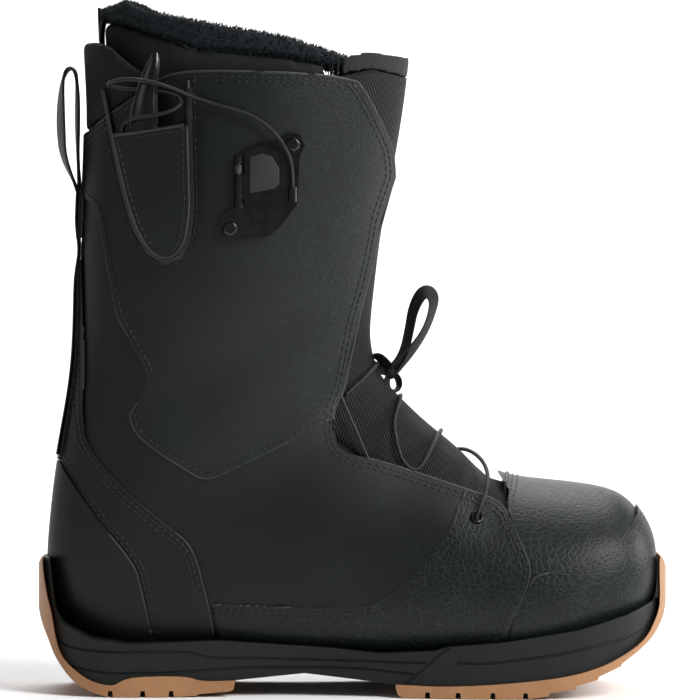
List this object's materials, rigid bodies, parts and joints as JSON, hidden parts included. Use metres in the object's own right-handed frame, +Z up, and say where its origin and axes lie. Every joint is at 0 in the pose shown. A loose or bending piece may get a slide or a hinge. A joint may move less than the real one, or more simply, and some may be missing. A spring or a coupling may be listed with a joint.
{
  "type": "snowboard boot",
  "caption": "Tall padded snowboard boot with a speed-lace lock, pull handle in a side pocket, lined inner boot and rubber sole.",
  "frame": {"origin": "on the floor, under the middle of the boot's bounding box", "axes": "+X towards the toe, +Y towards the inner side of the leg (a right boot), +Z up the shaft"},
  "size_m": [0.314, 0.1285, 0.343],
  "materials": {
    "black_metal": "gloss black",
    "cord": "coated woven cord",
    "fur": "short black pile",
    "gloss_plastic": "gloss black moulded nylon",
    "gum_rubber": "matte tan gum rubber",
    "leather": "pebbled black synthetic leather",
    "liner_fabric": "smooth black fabric over foam",
    "midsole_foam": "matte black foam",
    "pad_rubber": "fine textured dark grey rubber",
    "shock_foam": "soft grey foam",
    "steel": "plain spring steel",
    "stiffener_board": "matte fibre board",
    "tongue_fabric": "ribbed black fabric",
    "webbing": "ribbed black webbing"
  },
  "bodies": {
    "root": {"achilles_collar": "liner_fabric", "backstay": "leather", "cuff_panel_inner": "leather", "cuff_panel_outer": "leather", "eyelets": "black_metal", "footbed": "liner_fabric", "forefoot_panel_inner": "leather", "forefoot_panel_outer": "leather", "handle_cord": "cord", "heel_counter": "leather", "heel_shock_pad": "shock_foam", "heel_stiffener": "stiffener_board", "heel_strap_inner": "leather", "heel_strap_outer": "leather", "lace": "cord", "lasting_board": "stiffener_board", "lever_spring": "steel", "liner": "liner_fabric", "liner_back_loop": "webbing", "liner_fur_collar": "fur", "liner_tongue": "liner_fabric", "lock_base": "gloss_plastic", "lock_pin": "steel", "lock_rivets": "black_metal", "midsole": "midsole_foam", "outsole_forefoot": "gum_rubber", "outsole_heel": "gum_rubber", "pocket_binding": "webbing", "pocket_gusset": "webbing", "pocket_panel": "leather", "quarter_inner": "leather", "quarter_outer": "leather", "rear_loop_anchor": "webbing", "ribbon_anchor": "webbing", "ribbon_hitch": "webbing", "ribbon_knot": "webbing", "shank": "steel", "toe_cap": "leather", "toe_puff": "stiffener_board", "tongue": "tongue_fabric", "tongue_binding": "webbing", "vamp": "leather"},
    "handle": {"pull_handle": "gloss_plastic"},
    "lever": {"lock_lever": "gloss_plastic", "lever_pad": "pad_rubber"},
    "rear_loop": {"rear_pull_loop": "webbing"},
    "ribbon": {"ribbon_loop": "webbing"}
  },
  "joints": [
    {"name": "handle_slide", "type": "slide", "parent": "root", "child": "handle", "axis": [0, 0, 1], "range_m": [0, 0.04]},
    {"name": "lever_hinge", "type": "hinge", "parent": "root", "child": "lever", "pos_m": [-0.0548, -0.05634, 0.25325], "axis": [0, 0, -1], "range_deg": [0, 28], "stiffness_Nm_per_rad": 0.02},
    {"name": "rear_loop_swing", "type": "hinge", "parent": "root", "child": "rear_loop", "pos_m": [-0.138, 0.0048, 0.2515], "axis": [0, -1, 0], "range_deg": [0, 70], "stiffness_Nm_per_rad": 0.02},
    {"name": "ribbon_swing", "type": "hinge", "parent": "root", "child": "ribbon", "pos_m": [0.02, 0.0048, 0.1585], "axis": [0, 1, 0], "range_deg": [-15, 60], "stiffness_Nm_per_rad": 0.005}
  ]
}
